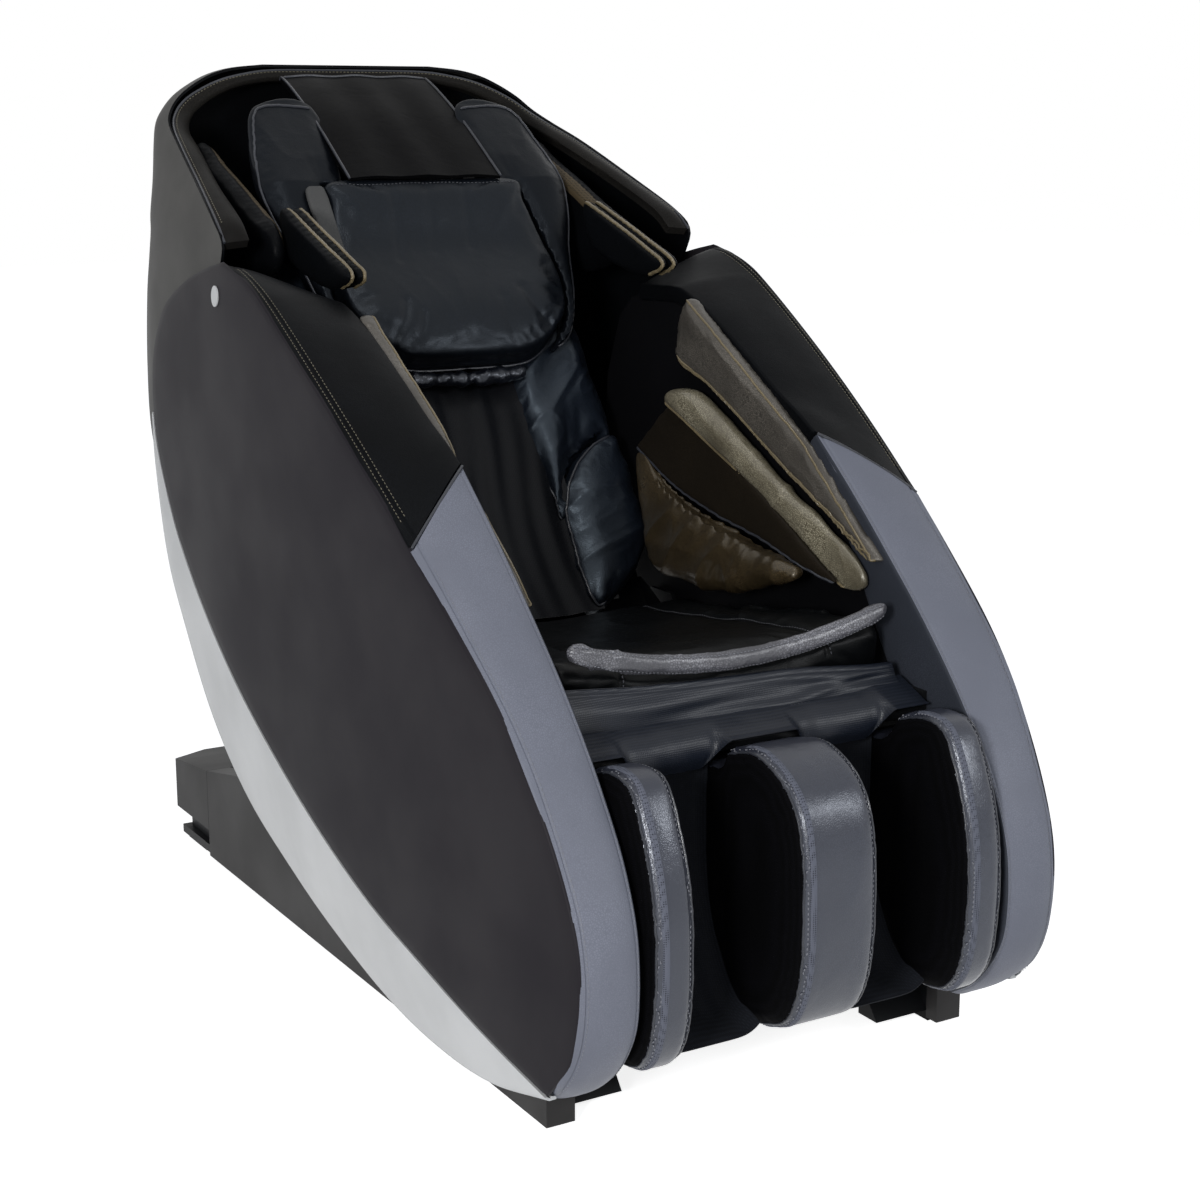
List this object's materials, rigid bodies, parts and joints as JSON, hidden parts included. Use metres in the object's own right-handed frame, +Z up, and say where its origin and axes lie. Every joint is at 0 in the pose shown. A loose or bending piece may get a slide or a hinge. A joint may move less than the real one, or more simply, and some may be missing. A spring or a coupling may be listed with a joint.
{
  "type": "massage chair",
  "caption": "Full-body massage chair with tall side pods, a hooded reclining back with a head pillow, a tilting seat shell and a lifting leg rest with calf channels.",
  "frame": {"origin": "on the floor under the middle of the chair's box", "axes": "+X to the sitter's left, +Y to the back, +Z up"},
  "size_m": [0.7854, 1.4251, 1.218],
  "materials": {
    "base_steel": "satin black powder coat",
    "base_plastic": "fine grained dark grey ABS",
    "foot_rubber": "black rubber",
    "rail_steel": "rolled steel",
    "control_case": "zinc plated steel",
    "pump_case": "die-cast",
    "inlet_plastic": "black",
    "switch_plastic": "dark red",
    "wheel_rubber": "black",
    "motor_case": "grey enamel",
    "screw_steel": "turned steel",
    "frame_steel": "satin black",
    "roller_steel": "turned steel",
    "actuator_case": "dark grey enamel",
    "rod_chrome": "polished",
    "seat_leather": "black synthetic leather",
    "roll_leather": "grey synthetic leather, glossy",
    "apron_cloth": "blue-black coated cloth",
    "panel_charcoal": "satin charcoal paint",
    "rim_grey": "bluish grey synthetic leather",
    "cap_black": "near-black synthetic leather",
    "trim_silver": "light silver paint",
    "badge_silver": "bright silver",
    "inner_plastic": "black",
    "arm_leather": "warm black synthetic leather",
    "hood_grey": "satin dark grey paint",
    "rim_leather": "dark grey synthetic leather",
    "back_leather": "blue-black synthetic leather",
    "head_leather": "black synthetic leather",
    "massage_case": "grey enamel",
    "roller_plastic": "beige nylon",
    "fin_leather": "dark slate synthetic leather",
    "lining_cloth": "black stretch cloth"
  },
  "bodies": {
    "base": {"base_frame": "base_steel", "base_side_cover_left": "base_plastic", "base_side_cover_right": "base_plastic", "base_rear_cover": "base_plastic", "base_feet": "foot_rubber", "slide_rails": "rail_steel", "control_box": "control_case", "air_pump": "pump_case", "mains_inlet": "inlet_plastic", "slide_motor": "motor_case"},
    "transport_wheels": {"transport_wheels": "wheel_rubber"},
    "power_switch": {"power_switch": "switch_plastic"},
    "slide_screw": {"slide_screw": "screw_steel"},
    "carriage": {"carriage_frame": "frame_steel"},
    "front_rollers": {"carriage_rollers_front": "roller_steel"},
    "rear_rollers": {"carriage_rollers_rear": "roller_steel"},
    "tilt_actuator": {"tilt_actuator": "actuator_case"},
    "tilt_rod": {"tilt_rod": "rod_chrome"},
    "seat": {"seat_frame": "frame_steel", "seat_cushion": "seat_leather", "seat_front_roll": "roll_leather", "front_apron": "apron_cloth", "side_panel_left": "panel_charcoal", "side_panel_right": "panel_charcoal", "lower_rim_left": "rim_grey", "lower_rim_right": "rim_grey", "arm_cap_left": "cap_black", "arm_cap_right": "cap_black", "silver_trim_left": "trim_silver", "silver_trim_right": "trim_silver", "inner_wall_left": "inner_plastic", "inner_wall_right": "inner_plastic", "side_badges": "badge_silver", "arm_upper_pad_left": "arm_leather", "arm_upper_pad_right": "arm_leather", "arm_lower_pad_left": "arm_leather", "arm_lower_pad_right": "arm_leather"},
    "recline_actuator": {"recline_actuator": "actuator_case"},
    "recline_rod": {"recline_rod": "rod_chrome"},
    "leg_actuator": {"leg_actuator": "actuator_case"},
    "leg_rod": {"leg_rod": "rod_chrome"},
    "backrest": {"back_hood": "hood_grey", "hood_rim": "rim_leather", "back_frame": "frame_steel", "back_cushion": "back_leather", "head_pad": "head_leather", "head_cover": "head_leather", "wing_pads": "arm_leather", "shoulder_pads": "arm_leather"},
    "travel_screw": {"travel_screw": "screw_steel"},
    "massage_carriage": {"massage_carriage": "massage_case"},
    "kneading_rollers": {"kneading_rollers": "roller_plastic"},
    "head_pillow": {"head_pillow": "back_leather"},
    "leg_frame": {"leg_frame": "frame_steel"},
    "leg_unit": {"leg_tray": "inner_plastic", "leg_fin_left": "fin_leather", "leg_fin_centre": "fin_leather", "leg_fin_right": "fin_leather", "leg_lining": "lining_cloth"},
    "foot_rollers": {"foot_rollers": "roller_plastic"}
  },
  "joints": [
    {"name": "carriage_slide", "type": "slide", "parent": "base", "child": "carriage", "axis": [0, -1, 0], "range_m": [0, 0.1]},
    {"name": "seat_tilt", "type": "hinge", "parent": "carriage", "child": "seat", "pos_m": [0, 0.18, 0.24], "axis": [-1, 0, 0], "range_deg": [0, 12.01]},
    {"name": "slide_screw_turn", "type": "hinge", "parent": "base", "child": "slide_screw", "pos_m": [0, 0.3, 0.097], "axis": [0, 1, 0], "range_deg": [0, 901]},
    {"name": "front_rollers_turn", "type": "hinge", "parent": "carriage", "child": "front_rollers", "pos_m": [0, -0.19, 0.0823], "axis": [1, 0, 0], "range_deg": [0, 359]},
    {"name": "rear_rollers_turn", "type": "hinge", "parent": "carriage", "child": "rear_rollers", "pos_m": [0, 0.24, 0.0823], "axis": [1, 0, 0], "range_deg": [0, 359]},
    {"name": "tilt_actuator_pivot", "type": "hinge", "parent": "carriage", "child": "tilt_actuator", "pos_m": [0, 0, 0.12], "axis": [-1, 0, 0], "range_deg": [0, 13.3]},
    {"name": "tilt_rod_slide", "type": "slide", "parent": "tilt_actuator", "child": "tilt_rod", "axis": [0, -0.7433, 0.669], "range_m": [0, 0.0449]},
    {"name": "recline", "type": "hinge", "parent": "seat", "child": "backrest", "pos_m": [0, 0.08, 0.425], "axis": [-1, 0, 0], "range_deg": [0, 30]},
    {"name": "recline_actuator_pivot", "type": "hinge", "parent": "seat", "child": "recline_actuator", "pos_m": [0.09, -0.25, 0.2], "axis": [1, 0, 0], "range_deg": [0, 0.5]},
    {"name": "recline_rod_slide", "type": "slide", "parent": "recline_actuator", "child": "recline_rod", "axis": [0, 0.9462, 0.3237], "range_m": [-0.0553, 0]},
    {"name": "leg_lift", "type": "hinge", "parent": "seat", "child": "leg_frame", "pos_m": [0, -0.515, 0.416], "axis": [-1, 0, 0], "range_deg": [0, 80]},
    {"name": "leg_actuator_pivot", "type": "hinge", "parent": "seat", "child": "leg_actuator", "pos_m": [-0.09, -0.15, 0.3], "axis": [1, 0, 0], "range_deg": [0, 3.21]},
    {"name": "leg_rod_slide", "type": "slide", "parent": "leg_actuator", "child": "leg_rod", "axis": [0, -0.9746, 0.2238], "range_m": [0, 0.0661]},
    {"name": "leg_extend", "type": "slide", "parent": "leg_frame", "child": "leg_unit", "axis": [0, 0, -1], "range_m": [0, 0.075]},
    {"name": "foot_rollers_turn", "type": "hinge", "parent": "leg_unit", "child": "foot_rollers", "pos_m": [0, -0.5195, 0.131], "axis": [1, 0, 0], "continuous": true},
    {"name": "massage_travel", "type": "slide", "parent": "backrest", "child": "massage_carriage", "axis": [0, 0.5548, 0.832], "range_m": [0, 0.45]},
    {"name": "travel_screw_turn", "type": "hinge", "parent": "backrest", "child": "travel_screw", "pos_m": [0, 0.3312, 0.60139], "axis": [0, 0.5548, 0.832], "range_deg": [0, 2702]},
    {"name": "kneading_turn", "type": "hinge", "parent": "massage_carriage", "child": "kneading_rollers", "pos_m": [0, 0.17503, 0.47716], "axis": [1, 0, 0], "continuous": true},
    {"name": "pillow_flip", "type": "hinge", "parent": "backrest", "child": "head_pillow", "pos_m": [0, 0.32795, 1.0579], "axis": [-1, 0, 0], "range_deg": [0, 150]},
    {"name": "transport_wheels_turn", "type": "hinge", "parent": "base", "child": "transport_wheels", "pos_m": [0, 0.668, 0.027], "axis": [1, 0, 0], "continuous": true},
    {"name": "power_switch_rock", "type": "hinge", "parent": "base", "child": "power_switch", "pos_m": [-0.085, 0.7064, 0.085], "axis": [-1, 0, 0], "range_deg": [0, 14]}
  ],
  "couplings": [
    {"joint": "seat_tilt", "follows": "carriage_slide", "rad_per_m": 2.094},
    {"joint": "slide_screw_turn", "follows": "carriage_slide", "rad_per_m": 157.08},
    {"joint": "front_rollers_turn", "follows": "carriage_slide", "rad_per_m": 62.5},
    {"joint": "rear_rollers_turn", "follows": "carriage_slide", "rad_per_m": 62.5},
    {"joint": "tilt_actuator_pivot", "follows": "carriage_slide", "rad_per_m": 2.304},
    {"joint": "tilt_rod_slide", "follows": "carriage_slide", "ratio": 0.448},
    {"joint": "recline_actuator_pivot", "follows": "recline", "ratio": 0.016},
    {"joint": "recline_rod_slide", "follows": "recline", "m_per_rad": -0.10543},
    {"joint": "leg_actuator_pivot", "follows": "leg_lift", "ratio": 0.04},
    {"joint": "leg_rod_slide", "follows": "leg_lift", "m_per_rad": 0.04727},
    {"joint": "travel_screw_turn", "follows": "massage_travel", "rad_per_m": 104.72}
  ]
}
